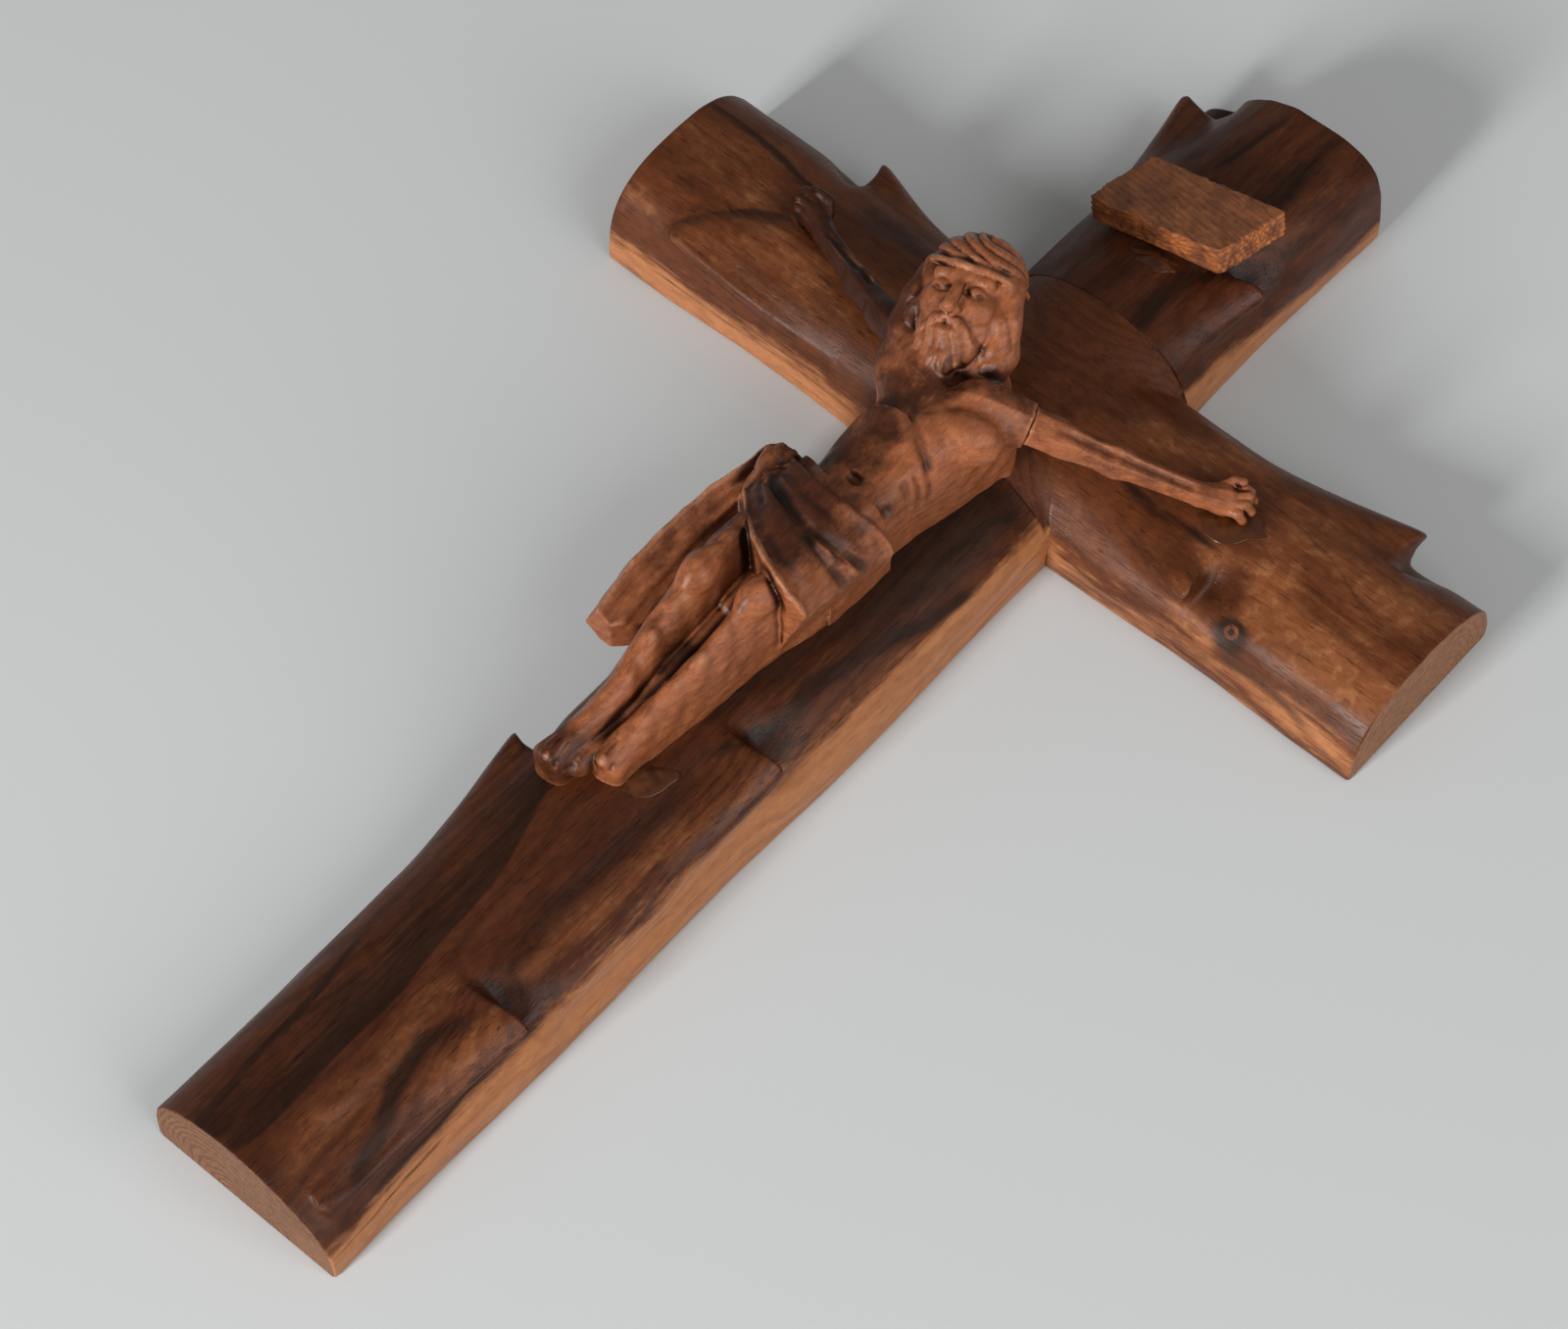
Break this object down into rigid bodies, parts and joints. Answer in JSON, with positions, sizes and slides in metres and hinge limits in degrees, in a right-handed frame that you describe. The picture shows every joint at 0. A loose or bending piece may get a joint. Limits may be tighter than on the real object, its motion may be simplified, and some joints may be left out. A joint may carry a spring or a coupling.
{
  "type": "crucifix",
  "caption": "Wall crucifix of half-round branch-wood beams joined by a cross-lap, with a carved figure and a blank plaque; its flat back has a blind hole for hanging.",
  "frame": {"origin": "on the flat back, at the centre of the crossing", "axes": "+X to the viewer's right along the cross-beam, +Y up along the upright, +Z out of the front"},
  "size_m": [0.259, 0.42, 0.075],
  "materials": {
    "beam_wood": "satin varnish over dark, streaked heartwood and paler sapwood",
    "figure_wood": "knife-cut, thin satin varnish",
    "plaque_wood": "smooth face, rough sawn edges",
    "dowel_wood": "plain beech",
    "screw_steel": "plain",
    "amber_glue": "clear amber, glossy"
  },
  "bodies": {
    "root": {"upright_beam": "beam_wood", "cross_beam": "beam_wood", "corpus": "figure_wood", "arm_left": "figure_wood", "arm_right": "figure_wood", "title_plaque": "plaque_wood", "shoulder_dowels": "dowel_wood", "body_dowels": "dowel_wood", "plaque_pegs": "dowel_wood", "lap_screws": "screw_steel", "foot_glue": "amber_glue", "left_hand_glue": "amber_glue", "right_hand_glue": "amber_glue", "plaque_glue": "amber_glue"}
  },
  "joints": []
}
